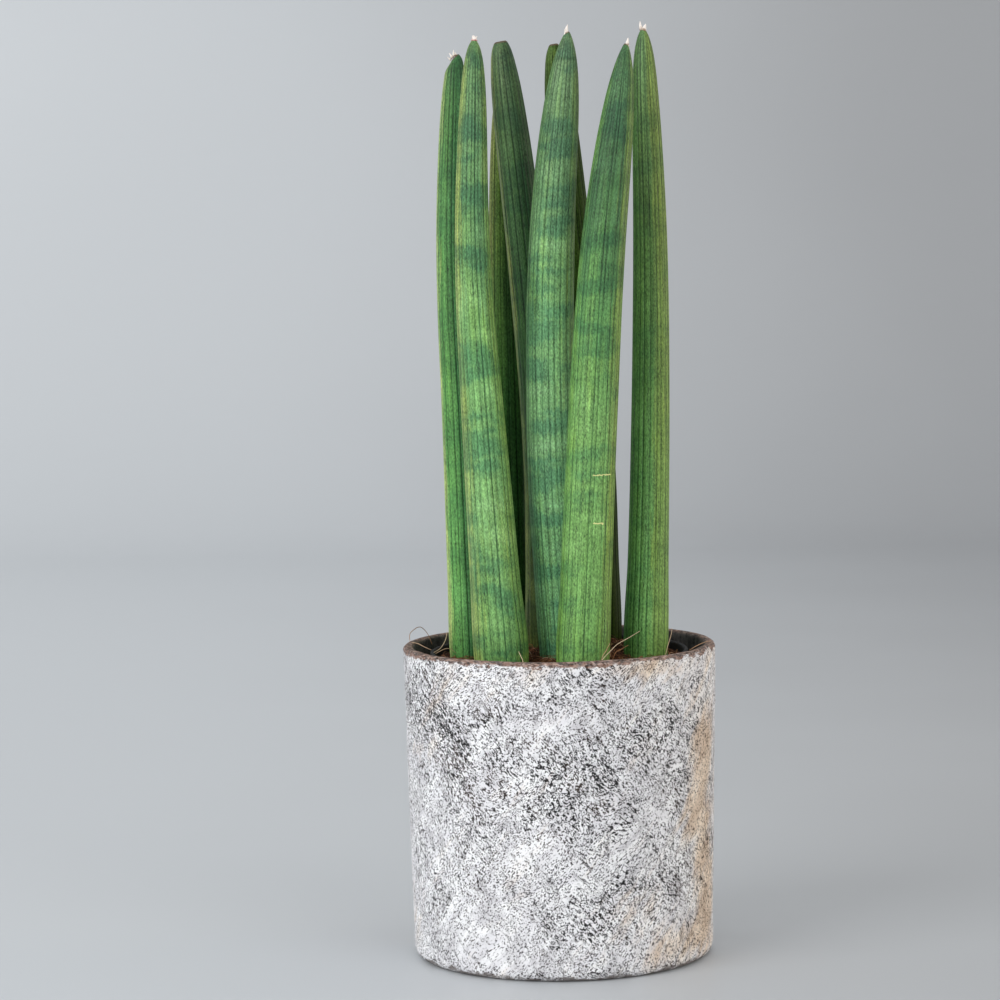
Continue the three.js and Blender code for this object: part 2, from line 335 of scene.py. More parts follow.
# Smears of thick, smooth wash, and of wash rubbed thin to the dark body (negative amounts).
# Turn from the front in degrees, height, length and width in mm, tilt in degrees, amount.
SMEARS = [
    (-33, 22, 52, 26, 12, 1.0),
    (-58, 66, 26, 34, 70, 0.6),
    (-4, 113, 44, 7, 4, 0.9),
    (-36, 124, 22, 12, 35, 0.5),
    (24, 62, 46, 6, 52, 0.9),
    (29, 50, 13, 9, 30, 0.9),
    (46, 20, 20, 15, 80, 1.0),
    (47, 132, 34, 12, 5, 0.7),
    (60, 74, 50, 13, 80, 0.8),
    (-14, 55, 28, 9, 10, 0.7),
    (-20, 10, 60, 12, 0, 0.8),
    (33, 108, 36, 24, 20, -0.8),
    (3, 84, 62, 36, 15, -0.55),
    (24, 32, 66, 26, 20, -0.7),
    (-66, 112, 24, 56, 80, -1.0),
    (-41, 92, 14, 46, 25, -1.0),
    (-50, 122, 34, 38, 60, -0.6),
    (76, 52, 12, 40, 85, -0.9),
    (-22, 70, 40, 10, 40, 0.35),
]
# Warm cream smears in the same columns: painted warm light on the right front, where the lamp's warm light
# falls; the copies turned half round are a warm tint of the wash on the back left.
WARM_LIGHT_AND_TINT_SMEARS = [
    (62, 84, 90, 32, 88, 1.0),
    (70, 30, 60, 26, 88, 0.9),
    (52, 12, 40, 18, 20, 0.8),
    (30, 136, 60, 10, 0, 0.55),
]


def smear_field(turn, height, radius, smears):
    """Sum of soft-edged oval smears on the pot's unrolled outside, for arrays of degrees and metres."""
    total = np.zeros_like(turn)
    for middle, level, length, width, tilt, amount in smears:
        away = (turn - middle + 180) % 360 - 180
        across = np.radians(away) * radius / MM
        up = height / MM - level
        tip = math.radians(tilt)
        long_way = (across * math.cos(tip) + up * math.sin(tip)) / (length / 2)
        short_way = (up * math.cos(tip) - across * math.sin(tip)) / (width / 2)
        total += amount * np.exp(-(long_way ** 2 + short_way ** 2) ** 1.3)
    return total


def further_smears(count, seed, low, high):
    """Smears for the sides and back, drawn at random."""
    draw = random.Random(seed)
    smears = []
    for _ in range(count):
        amount = draw.choice((-0.8, -0.6, 0.7, 0.95))
        smears.append((
            draw.uniform(low, high), draw.uniform(4, 136), draw.uniform(18, 60), draw.uniform(7, 30),
            draw.uniform(-15, 75), amount,
        ))
    return smears


def lumps(point, scale, seed):
    return noise.noise(Vector(point) * scale + Vector((seed, seed * 1.7, seed * 0.3)))


def pot_profile(node):
    """The cover pot's outline from the middle of its underside, over the rim, to the middle of its floor.

    Each entry is (distance from the axis, height, how far inside it is: 0 outside, 1 inside).
    """
    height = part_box(node)[1].z
    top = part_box(node)[1].x
    foot = radius_between(node, 4 * MM, 5 * MM)[1]
    mouth = radius_between(node, height - 2.5 * MM, height - 1.5 * MM)[0]
    inner_foot = radius_between(node, 15 * MM, 17 * MM)[0]
    outline = [(foot * share, 0, 0) for share in (0.1, 0.3, 0.5, 0.7, 0.85)]
    for i in range(POT_FOOT_STEPS + 1):
        turn = math.radians(-90 + 90 * i / POT_FOOT_STEPS)
        reach = foot - POT_FOOT_ROUND + POT_FOOT_ROUND * math.cos(turn)
        outline.append((reach, POT_FOOT_ROUND * (1 + math.sin(turn)), 0))
    shoulder = height - POT_RIM_ROUND
    rows = round((shoulder - POT_FOOT_ROUND) / POT_ROW_STEP)
    for i in range(1, rows):
        share = i / rows
        outline.append((foot + (top - foot) * share, POT_FOOT_ROUND + (shoulder - POT_FOOT_ROUND) * share, 0))
    for i in range(POT_RIM_STEPS + 1):
        turn = math.radians(90 * i / POT_RIM_STEPS)
        reach = top - POT_RIM_ROUND + POT_RIM_ROUND * math.cos(turn)
        outline.append((reach, shoulder + POT_RIM_ROUND * math.sin(turn), 0.4 * i / POT_RIM_STEPS))
    for i in range(1, POT_RIM_STEPS + 1):
        turn = math.radians(90 + 90 * i / POT_RIM_STEPS)
        reach = mouth + POT_RIM_ROUND + POT_RIM_ROUND * math.cos(turn)
        outline.append((reach, shoulder + POT_RIM_ROUND * math.sin(turn), 0.4 + 0.6 * i / POT_RIM_STEPS))
    floor_top = POT_FLOOR + POT_FLOOR_FILLET
    for i in range(1, POT_INSIDE_ROWS):
        share = i / POT_INSIDE_ROWS
        outline.append((mouth + (inner_foot - mouth) * share, shoulder + (floor_top - shoulder) * share, 1))
    for i in range(POT_RIM_STEPS + 1):
        turn = math.radians(-90 * i / POT_RIM_STEPS)
        reach = inner_foot - POT_FLOOR_FILLET + POT_FLOOR_FILLET * math.cos(turn)
        outline.append((reach, floor_top + POT_FLOOR_FILLET * math.sin(turn), 1))
    outline += [(inner_foot * share, POT_FLOOR, 1) for share in (0.7, 0.45, 0.2)]
    return outline


def cover_pot(node):
    """The thick hand-thrown pot: slightly uneven, with relief where the wash is thick."""
    outline = pot_profile(node)
    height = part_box(node)[1].z
    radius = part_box(node)[1].x
    smears = SMEARS + further_smears(count=46, seed=5, low=84, high=276)
    warm = WARM_LIGHT_AND_TINT_SMEARS + [(turn + 180, *rest) for turn, *rest in WARM_LIGHT_AND_TINT_SMEARS]
    columns = np.arange(POT_COLUMNS) * 2 * math.pi / POT_COLUMNS
    points, washes, warm_light_and_tint_values, insides = [], [], [], []
    for reach, level, inside in outline:
        turn = np.degrees(columns) + 90
        heights = np.full_like(columns, level)
        wash = smear_field(turn, heights, radius, smears)
        warm_light_and_tint_share = smear_field(turn, heights, radius, warm)
        for angle, thick, glow in zip(columns, wash, warm_light_and_tint_share):
            x, y = reach * math.cos(angle), reach * math.sin(angle)
            side = (math.cos(angle) * radius, math.sin(angle) * radius, level)
            out = 0.0
            lift = 0.0
            if reach > radius * 0.8:
                out = POT_WOBBLE * (0.9 * lumps(side, 16, 3) + 0.5 * lumps(side, 45, 8))
                out += 0.22 * MM * lumps(side, 150, 2) * (1 - inside)
                out += 0.16 * MM * float(np.clip(thick, -1, 1)) * (1 - inside)
                rim = smooth(height - 6 * MM, height, level)
                lift = rim * 0.3 * MM * (lumps(side, 30, 12) + 0.7 * lumps(side, 90, 1))
                edge = 1 - smooth(0, 7 * MM, level)
                chip = max(0.0, lumps(side, 120, 21)) * smooth(0, 1 * MM, level)
                out -= edge * (1 - inside) * 0.5 * MM * chip
            points.append((x * (1 + out / reach), y * (1 + out / reach), level + lift))
            washes.append(thick)
            warm_light_and_tint_values.append(glow)
            insides.append(inside)
    rows = len(outline)
    faces = grid_faces(rows, POT_COLUMNS)
    for ring, level, inside, under in ((0, 0.0, 0, True), (rows - 1, POT_FLOOR, 1, False)):
        points.append((0, 0, level))
        washes.append(0)
        warm_light_and_tint_values.append(0)
        insides.append(inside)
        faces += fan_faces(ring * POT_COLUMNS, POT_COLUMNS, len(points) - 1, under)
    piece = make_piece(
        "finished_" + node, points, faces, limewash(height), wash=washes, warm=warm_light_and_tint_values, inside=insides
    )
    stand_for(piece, node)


def limewash(height):
    """Rough off-white wash over a dark body: worm-like specks, smooth smears, scratches, a worn brown rim,
    and warm cream smears: painted warm light on the right front, a warm tint on the back left.
    """
    finish = Finish("limewash")
    place = finish.place()
    z = finish.parts(place)[2]
    wash = finish.attribute("wash")
    warm = finish.attribute("warm")
    inside = finish.attribute("inside")
    drift = finish.node(
        "ShaderNodeTexNoise", inputs={"Vector": place, "Scale": 26, "Detail": 2}, output="Color"
    )
    pulled = finish.stretch(drift, (14 * MM,) * 3, (-7 * MM,) * 3)
    pulled = finish.node("ShaderNodeVectorMath", {"operation": "ADD"}, {0: place, 1: pulled})
    spin = {"rotation_type": "Z_AXIS"}
    swept = finish.node("ShaderNodeVectorRotate", spin, {"Vector": pulled, "Angle": z * -11.0})
    counter = finish.node("ShaderNodeVectorRotate", spin, {"Vector": pulled, "Angle": z * 8.0})
    cloud = finish.noise(finish.stretch(swept, (1, 1, 0.7)), 40, 4, 0.6, 0.6)
    stroke = finish.noise(finish.stretch(swept, (1, 1, 0.2)), 210, 4, 0.62, 0.5)
    drag = finish.noise(finish.stretch(counter, (1, 1, 0.3)), 120, 4, 0.62, 0.5)
    thick = wash * 0.65 + (cloud - 0.5) * 1.2 + (stroke - 0.5) * 1.1 + (drag - 0.5) * 1.1

    fine = finish.noise(finish.stretch(swept, (1, 1, 0.8)), 1750, 0, 0.5, 0.6)
    flakes = finish.noise(finish.stretch(counter, (1, 1, 0.75), (4, 1, 2)), 880, 0.6, 0.5, 1.5)
    coarse = (wash * -0.55 - (cloud - 0.5) * 2.4 - (drag - 0.5) * 0.8).step(-0.16, 0.22)
    share = coarse * 0.5 + 0.28
    pattern = flakes * share + fine * (1 - share)
    edge = 0.428 - thick * 0.095
    specks = pattern.step(edge + 0.012, edge - 0.012)
    net = finish.noise(pulled, 560, 1, 0.5, 1.2)
    width = 0.040 - thick * 0.030
    gate = (flakes * 0.6 + stroke * 0.4 - thick * 0.04).step(0.53, 0.45) * coarse
    dark = specks.most((net - 0.5).size().step(width, width * 0.3) * gate)
    soft = pattern.step(edge + 0.06, edge)
    crack_noise = finish.noise(finish.stretch(counter, (1, 1, 0.5), (7, 3, 1)), 62, 5, 0.66, 1.4)
    cracks = (crack_noise - 0.5).size().step(0.009, 0.002) * stroke.step(0.42, 0.52)
    film = finish.noise(swept, 70, 3, 0.6, 0.8)
    smudge = (drag * 0.55 + cloud * 0.45 - wash * 0.05).step(0.53, 0.42) * stroke.step(0.62, 0.36)

    white = finish.mix(film.step(0.38, 0.66), paint(234, 233, 236), paint(252, 252, 253))
    coat = finish.mix(soft * 0.3, white, paint(176, 172, 176))
    coat = finish.mix(smudge * 0.34, coat, paint(138, 133, 137))
    cream = finish.mix(film.step(0.35, 0.7), paint(208, 182, 154), paint(240, 220, 196))
    # Painted warm light on the right front, and a warm tint on the back left: the wash turns cream and the
    # thin body brown under the warm smears.
    warm_light_and_tint_share = (warm * 0.85 + (cloud - 0.5) * 1.8 + (stroke - 0.5) * 1.2).step(0.05, 0.9)
    coat = finish.mix(warm_light_and_tint_share * 0.85, coat, cream)
    brown = finish.noise(pulled, 60, 3, 0.6).step(0.5, 0.66)
    body = finish.mix(coarse, paint(62, 59, 61), paint(18, 16, 17))
    body = finish.mix(warm_light_and_tint_share.most(brown * 0.7) * 0.9, body, paint(66, 47, 34))
    colour = finish.mix(dark.most(cracks * 0.85) * 0.97, coat, body)

    ragged = finish.noise(finish.stretch(place, (1, 1, 2.2)), 150, 4, 0.65)
    band_top = z - (ragged - 0.5) * (9 * MM)
    rim = band_top.step(height - 2.5 * MM, height - 1.4 * MM)
    flecks = finish.noise(finish.stretch(place, (1, 1, 3), (2, 5, 1)), 480, 3, 0.65).step(0.5, 0.6)
    rust = finish.noise(finish.stretch(place, (1, 1, 2.4)), 330, 3, 0.65)
    worn = finish.mix(rust.step(0.4, 0.6), paint(58, 42, 34), paint(132, 98, 82))
    worn = finish.mix(flecks * 0.55, worn, paint(206, 178, 162))
    colour = finish.mix(rim * 0.9, colour, worn)
    foot = (z + (ragged - 0.5) * (15 * MM)).step(2.6 * MM, 0.8 * MM)
    colour = finish.mix(foot * 0.75, colour, paint(92, 80, 72))

    bare = finish.noise(place, 300, 3, 0.65)
    charcoal = finish.mix(bare.step(0.3, 0.7), paint(58, 55, 56), paint(104, 99, 98))
    lined = inside.step(0.5, 0.9)
    colour = finish.mix(lined, colour, charcoal)

    relief = (1 - dark) * 0.5 + thick * 0.25 + stroke * 0.5 - cracks * 0.6
    relief = relief * (1 - lined) + bare * 0.9
    grain = finish.noise(place, 1700, 2, 0.6)
    normal = finish.bump(relief + grain * 0.3, 0.5 * MM, 0.8)
    rough = 0.86 - dark * 0.1 + grain * 0.08
    return finish.close(0.25, colour, rough, normal)


# ---------------- grow pot

GROW_COLUMNS = 144
GROW_WALL_ROWS = 12
LIP_STEPS = 8
LIP_HEIGHT = 6 * MM
LIP_THICKNESS = 2 * MM
GROW_WALL = 1.2 * MM
GROW_FLOOR = 1.6 * MM
DRAIN_RADIUS = 4.5 * MM
DRAIN_INSET = 14 * MM
DRAIN_COUNT = 6


def grow_pot(node):
    """The thin nursery pot, with a rolled lip and drain holes."""
    low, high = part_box(node)
    foot = radius_between(node, low.z + 0.8 * MM, low.z + 1.2 * MM)[1]
    rim, top, base = high.x, high.z, low.z
    lip_foot = top - LIP_HEIGHT
    lip_inside = rim - LIP_THICKNESS
    roll = LIP_THICKNESS / 2
    outline = [(foot * share, base) for share in (0.25, 0.5, 0.75, 0.93)]
    outline += [(foot - 0.4 * MM, base + 0.2 * MM), (foot, base + 1 * MM)]
    wall_top = lip_inside + GROW_WALL
    for i in range(1, GROW_WALL_ROWS):
        share = i / GROW_WALL_ROWS
        outline.append((foot + (wall_top - foot) * share, base + 1 * MM + (lip_foot - base - 1 * MM) * share))
    outline += [(wall_top, lip_foot), (rim - 0.2 * MM, lip_foot + 0.3 * MM), (rim, lip_foot + 0.9 * MM)]
    outline.append((rim, top - roll - 1 * MM))
    for i in range(LIP_STEPS + 1):
        turn = math.radians(180 * i / LIP_STEPS)
        outline.append((rim - roll + roll * math.cos(turn), top - roll + roll * math.sin(turn)))
    outline.append((lip_inside, lip_foot + 0.5 * MM))
    corner, floor_top = foot - GROW_WALL, base + GROW_FLOOR
    outline += [(corner, floor_top + 0.6 * MM), (corner - 0.6 * MM, floor_top)]
    outline += [(foot * share, base + GROW_FLOOR) for share in (0.75, 0.5, 0.25)]
    points = []
    for reach, level in outline:
        for j in range(GROW_COLUMNS):
            angle = 2 * math.pi * j / GROW_COLUMNS
            ripple = 0.18 * MM * lumps((math.cos(angle), math.sin(angle), level * 20), 2.1, 4)
            lift = ripple if level > lip_foot else 0
            points.append(((reach + lift) * math.cos(angle), (reach + lift) * math.sin(angle), level))
    faces = capped_faces(len(outline), GROW_COLUMNS)
    piece = make_piece("finished_" + node, points, faces, black_plastic())
    drill(piece, foot - DRAIN_INSET, base, GROW_FLOOR)
    stand_for(piece, node)


def drill(piece, reach, base, depth):
    """Cuts the ring of drain holes through the floor."""
    bits = bmesh.new()
    for i in range(DRAIN_COUNT):
        angle = 2 * math.pi * i / DRAIN_COUNT
        spot = Matrix.Translation((reach * math.cos(angle), reach * math.sin(angle), base + depth / 2))
        bmesh.ops.create_cone(
            bits, cap_ends=True, segments=32, radius1=DRAIN_RADIUS, radius2=DRAIN_RADIUS, depth=4 * depth,
            matrix=spot,
        )
    mesh = bpy.data.meshes.new("drill_bits")
    bits.to_mesh(mesh)
    bits.free()
    cutter = show("drill_bits", mesh)
    cut = piece.modifiers.new("drain_holes", "BOOLEAN")
    cut.operation = "DIFFERENCE"
    cut.solver = "EXACT"
    cut.object = cutter
    bpy.context.view_layer.update()
    made = bpy.data.meshes.new_from_object(piece.evaluated_get(bpy.context.evaluated_depsgraph_get()))
    piece.modifiers.clear()
    piece.data = made
    bpy.data.objects.remove(cutter)


def black_plastic():
    """Thin moulded black plastic, scuffed and dusty with compost."""
    finish = Finish("black_plastic")
    place = finish.place()
    dust = finish.noise(place, 240, 4, 0.65)
    fine = finish.noise(finish.stretch(place, (1, 1, 6)), 500, 2, 0.5)
    settled = dust.step(0.54, 0.72)
    colour = finish.mix(fine, paint(22, 22, 23), paint(34, 34, 35))
    colour = finish.mix(settled * 0.65, colour, paint(64, 48, 38))
    normal = finish.bump(fine * 0.4 + settled, 0.15 * MM, 0.5)
    rough = 0.62 + settled * 0.3 + fine * 0.1
    return finish.close(0.25, colour, rough, normal)


# ---------------- leaves

LEAF_ROW = 2.0 * MM
TIP_ROWS = (0, 0.35, 0.8, 1.4, 2.2, 3.2)  # closer rows just below the tip, in mm
GROOVE_SPACING = 3.3 * MM
GROOVE_DEPTH = 0.16 * MM
RIB_RISE = 0.07 * MM
GROOVE_STEPS = (0, 0.055, 0.14, 0.3, 0.5, 0.7, 0.86, 0.945)
SLANT_REACH = 8 * MM
DRY_END_STEPS = 6
RING_POINTS = 60  # a level with fewer points is not one of a leaf's rings
SAME_LEVEL = 0.00001

# How each leaf is coloured and how it ends. Angles in degrees round the leaf, -90 facing the front.
#   greens_with_painted_light_and_shade   its green, evenly spaced from the foot to the tip; it holds painted shade on leaves and parts in shadow, such as the dark back leaves, and painted light on the centre leaf's lower part
#   flanks   sides of another green: angle, how squarely it faces that angle where it starts, colour, strength
#   lit_and_shaded_sides   painted light and shade: sides of another green, lighter, olive or darker as light falls on them or misses them: angle, how squarely it faces that angle where it starts, colour, strength
#   tip      width of the flat at the end, in mm; slant is how far that end falls across it
#   cap      length in mm and strength of the darker green below the tip
#   ring     distance below the tip of a dark line round it, in mm
#   husk     colour of its dry end
#   gloss    how strongly its skin shines, where it shines less than the others
#   seed     what its noise and its random draws start from
LEAVES = {
    "leaf_far_left": dict(
        greens_with_painted_light_and_shade=((98, 156, 80), (98, 156, 82), (92, 146, 76), (82, 132, 72), (78, 118, 66)),
        lit_and_shaded_sides=((178, 0.72, (164, 182, 116), 0.8), (-30, 0.1, (44, 96, 60), 0.55)),
        bands=0.45, tip=2.6, slant=2.4, cap=(10, 0.75), seed=11,
    ),
    "leaf_front_left": dict(
        greens_with_painted_light_and_shade=((98, 146, 76), (122, 168, 104), (116, 164, 98), (98, 142, 90), (100, 136, 88)),
        lit_and_shaded_sides=((-174, 0.6, (150, 168, 92), 0.7), (-8, 0.6, (124, 148, 72), 0.6)),
        bands=1.0, tip=1.2, slant=0, cap=(6, 0.3), husk=(176, 104, 92), seed=23,
    ),
    # Painted shade: dark greens, darkest at the foot, for a back leaf that lies mostly in shadow.
    "leaf_back_left": dict(
        greens_with_painted_light_and_shade=((58, 92, 40), (68, 110, 48), (72, 118, 54), (92, 122, 56), (114, 136, 66)),
        lit_and_shaded_sides=((178, 0.5, (134, 140, 80), 0.7), (-30, 0.2, (30, 66, 36), 0.6)),
        bands=0.4, tip=1.6, slant=0, cap=(6, 0.4), gloss=0.12, seed=31,
    ),
    "leaf_middle_left": dict(
        greens_with_painted_light_and_shade=((82, 92, 40), (58, 88, 42), (44, 80, 38), (62, 96, 54), (84, 108, 70)),
        lit_and_shaded_sides=((-178, 0.78, (118, 132, 72), 0.75), (-20, 0.2, (34, 68, 42), 0.5)),
        bands=0.7, tip=5.6, slant=1, cap=(3, 0.5), seed=47,
    ),
    # Painted light: greens lighter than its own colour low down, where the other leaves shade it.
    "leaf_centre": dict(
        greens_with_painted_light_and_shade=(
            (138, 204, 148), (134, 192, 130), (138, 188, 128),
            (132, 182, 118), (108, 148, 100), (104, 132, 92),
        ),
        lit_and_shaded_sides=((-6, 0.62, (112, 134, 64), 0.7), (-178, 0.7, (92, 140, 68), 0.5)),
        bands=0.9, tip=1.6, slant=0, cap=(4, 0.5), ring=12, seed=53,
    ),
    # Painted shade: very dark greens, darkest at the foot, for a back leaf in shadow.
    "leaf_back_right": dict(
        greens_with_painted_light_and_shade=((46, 58, 12), (54, 74, 22), (64, 90, 34), (72, 98, 42), (86, 110, 56)),
        lit_and_shaded_sides=((-175, 0.6, (84, 106, 44), 0.4), (-10, 0.2, (30, 46, 8), 0.7)),
        bands=0.3, tip=4.0, slant=0.6, cap=(4, 0.4), gloss=0.06, seed=61,
    ),
    "leaf_front_right": dict(
        greens_with_painted_light_and_shade=((108, 156, 84), (112, 158, 86), (118, 164, 92), (88, 136, 78), (62, 100, 62), (80, 118, 76)),
        lit_and_shaded_sides=((-8, 0.58, (112, 136, 62), 0.7), (178, 0.75, (112, 158, 74), 0.5)),
        bands=0.8, tip=1.6, slant=0, cap=(8, 0.5), seed=79,
    ),
    "leaf_far_right": dict(
        greens_with_painted_light_and_shade=((112, 168, 92), (110, 162, 90), (90, 134, 70), (80, 112, 56), (94, 126, 78)),
        lit_and_shaded_sides=((-24, 0.35, (118, 138, 66), 0.6), (-172, 0.5, (58, 98, 48), 0.5)),
        bands=0.5, tip=1.4, slant=0, cap=(5, 0.2), seed=83,
    ),
}
# Pale marks across a leaf: mm below the tip, the angle they face, and half their width in degrees.
SCARS = {"leaf_front_right": [(186.6, -62, 26), (207.8, -68, 14)]}


def leaf_rings(node, look):
    """Height, centre and radius of a leaf at each level ring of its CAD piece, from its foot to its tip."""
    points = points_of(node)
    tip_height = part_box(node)[1].z
    heights, counts = np.unique(np.round(points[:, 2], 5), return_counts=True)
    rings = []
    for level, count in zip(heights, counts):
        if count < RING_POINTS:
            continue
        ring = points[np.abs(points[:, 2] - level) < SAME_LEVEL]
        low, high = ring.min(0), ring.max(0)
        rings.append((level, (low[0] + high[0]) / 2, (low[1] + high[1]) / 2, (high[0] - low[0]) / 2))
    if look["slant"]:
        rings = [ring for ring in rings if ring[0] < tip_height - SLANT_REACH]
        (z1, x1, y1, r1), (z2, x2, y2, r2) = rings[-2:]
        left = tip_height - z2
        blunt = look["tip"] * MM / 2
        bend = min(0.9, (r1 - r2) / (z2 - z1) * left / (r2 - blunt))
        bend = bend / (1 - bend)
        for below in (0.6 * left, 0.3 * left, 0):
            share = below / left
            radius = blunt + (r2 - blunt) * share * (1 + bend) / (share + bend)
            along = (tip_height - below - z2) / (z2 - z1)
            rings.append((tip_height - below, x2 + (x2 - x1) * along, y2 + (y2 - y1) * along, radius))
    return np.array(rings)


def groove_columns(draw, girth):
    """Angles of a leaf's columns, and for each the angle to its nearest groove and that groove's weight."""
    count = max(12, round(girth / GROOVE_SPACING))
    grooves = [2 * math.pi * (i + draw.uniform(-0.24, 0.24)) / count for i in range(count)]
    weights = [draw.choice((0.55, 0.7, 0.85, 1.0)) for _ in grooves]
    angles, gaps, strengths = [], [], []
    for i, start in enumerate(grooves):
        end = grooves[(i + 1) % count] + (2 * math.pi if i == count - 1 else 0)
        for share in GROOVE_STEPS:
            angles.append(start + (end - start) * share)
            gaps.append((end - start) * min(share, 1 - share))
            strengths.append(weights[i] if share <= 0.5 else weights[(i + 1) % count])
    return np.array(angles), np.array(gaps), np.array(strengths)


def leaf(node, look):
    """One round leaf: shallow lengthwise grooves between soft ribs, and a dry tip."""
    draw = random.Random(look["seed"])
    rings = leaf_rings(node, look)
    foot, tip = rings[0, 0], rings[-1, 0]
    length = tip - foot
    near_tip = np.array(TIP_ROWS) * MM
    below = np.concatenate([near_tip, np.arange(4.6 * MM, length, LEAF_ROW), [length]])
    levels = tip - below
    centre_x = through(rings[:, 0], rings[:, 1], levels)
    centre_y = through(rings[:, 0], rings[:, 2], levels)
    girth = through(rings[:, 0], rings[:, 3], levels)
    angles, gaps, strengths = groove_columns(draw, 2 * math.pi * float(girth.max()))
    columns = len(angles)
    blunt = look["tip"] * MM
    slant = look["slant"] * MM
    edge = min(0.45 * MM, blunt / 3)
    points, skins, grooves, weights, drys = lists = [], [], [], [], []

    def add(*values):
        for into, value in zip(lists, values):
            into.append(value)

    for i in range(len(levels) - 1, -1, -1):
        s, radius = float(below[i]), float(girth[i])
        soften = float(smooth(0, 2.4 * MM, s))
        radius -= edge * (1 - min(1.0, s / (0.8 * MM))) ** 2
        ribs = float(smooth(2 * MM, 30 * MM, s))
        fall = slant * float(np.clip(1 - s / SLANT_REACH, 0, 1))
        for angle, gap, strength in zip(angles, gaps, strengths):
            away = gap * radius
            cut = GROOVE_DEPTH * (0.3 + 0.7 * strength) * math.exp(-((away / (0.32 * MM)) ** 2))
            rib = RIB_RISE * math.sin(min(1.0, away / (1.7 * MM)) * math.pi / 2)
            side = Vector((math.cos(angle), math.sin(angle), s * 9 + look["seed"]))
            swell = 0.22 * MM * noise.noise(side * 1.1) + 0.10 * MM * noise.noise(side * 2.2)
            reach = radius + (rib - cut - 0.1 * MM) * ribs + swell * ribs * soften
            x, y = reach * math.cos(angle), reach * math.sin(angle)
            drop = fall * (0.5 - x / blunt) if fall else 0
            point = (centre_x[i] + x, centre_y[i] + y, levels[i] - drop)
            dryness = 1 - float(smooth(0.2 * MM, 1.3 * MM, s))
            add(point, (math.cos(angle), math.sin(angle), s), away, strength, dryness)
    top = (len(levels) - 1) * columns
    for share, sink in ((0.72, 0.05), (0.4, 0.22), (0.12, 0.3)):
        for j in range(columns):
            x = (points[top + j][0] - centre_x[0]) * share
            y = (points[top + j][1] - centre_y[0]) * share
            drop = slant * (0.5 - x / blunt) if slant else 0
            ragged = 0.12 * MM * noise.noise(Vector((x, y, look["seed"])) * 1500)
            dip = sink * min(1, blunt / (3 * MM)) * MM
            point = (centre_x[0] + x, centre_y[0] + y, tip - drop - dip + ragged)
            add(point, (math.cos(angles[j]), math.sin(angles[j]), 0), 1 * MM, 0, 1)
    faces = grid_faces(len(points) // columns, columns)
    last = len(points) - columns
    for ring, row, level, reach, dry in ((last, 0, points[last][2], 0, 1), (0, -1, foot, length, 0)):
        add((centre_x[row], centre_y[row], level), (0, 0, reach), 1 * MM, 0, dry)
        faces += fan_faces(ring, columns, len(points) - 1, under=dry == 0)
    for path, radii in dry_bits(node, Vector((centre_x[0], centre_y[0], tip)), draw):
        bit_points, bit_faces = tube(path, radii, sides=7)
        start = len(points)
        faces += [tuple(start + k for k in face) for face in bit_faces]
        for k, point in enumerate(bit_points):
            add(point, (0.3, 0.3, 0), 1 * MM, 0, 1 + k / len(bit_points))
    piece = make_piece(
        "finished_" + node, points, faces, leaf_skin(node, look, length),
        skin=skins, groove=grooves, weight=weights, dry=drys,
    )
    stand_for(piece, node)


# Dry, papery ends: each is a start and a lean from the tip's middle, and a length and thickness, in mm.
DRY_ENDS = {
    "leaf_far_left": [
        ((-1.2, 0, -2.0), (-0.5, 0, 0.9), 2.6, 1.3), ((-0.4, -0.3, -1.3), (-0.35, 0, 1), 3.1, 1.2),
        ((0.4, 0, -0.8), (-0.2, 0, 1), 1.6, 0.9), ((-1.9, -0.1, -2.9), (-0.8, 0, 0.7), 2.2, 1),
    ],
    "leaf_front_left": [
        ((0.1, 0, -1.0), (0.1, 0, 1), 2.4, 2.9), ((0.5, -0.2, 0), (0.9, 0, 1), 1.5, 0.8),
        ((-0.4, -0.2, 0), (-0.2, 0, 1), 1.4, 0.9),
    ],
    "leaf_back_left": [((0, 0, -0.3), (0, 0, 1), 1.7, 0.8)],
    "leaf_centre": [
        ((-0.5, -0.2, -1.2), (-0.1, 0, 1), 4.0, 2.2), ((-1.1, -0.3, -2.4), (0.1, 0, 1), 3.2, 1.5),
        ((0.0, -0.4, -0.6), (-0.3, 0, 1), 2.3, 1.3),
    ],
    "leaf_front_right": [
        ((0.3, -0.1, -1.0), (0.3, 0, 1), 3.4, 1.9), ((1.0, -0.2, -1.6), (0.1, 0, 1), 2.2, 1),
    ],
    "leaf_far_right": [
        ((-0.6, 0, -1.0), (-0.35, 0, 1), 4.2, 1.8), ((0.3, -0.3, -1.2), (0.25, 0, 1), 3.0, 2.4),
    ],
}


def dry_bits(node, tip, draw):
    """Paths and radii of the small dried points at a leaf's tip."""
    bits = []
    for start, lean, length, thickness in DRY_ENDS.get(node, []):
        way = Vector(lean).normalized()
        bend = Vector((draw.uniform(-0.3, 0.3), draw.uniform(-0.3, 0.3), 0))
        path, radii = [], []
        for i in range(DRY_END_STEPS + 1):
            share = i / DRY_END_STEPS
            path.append(tip + (Vector(start) + way * length * share + bend * length * share * share) * MM)
            radii.append(thickness / 2 * MM * (1 - 0.85 * share ** 1.4))
        bits.append((path, radii))
    return bits


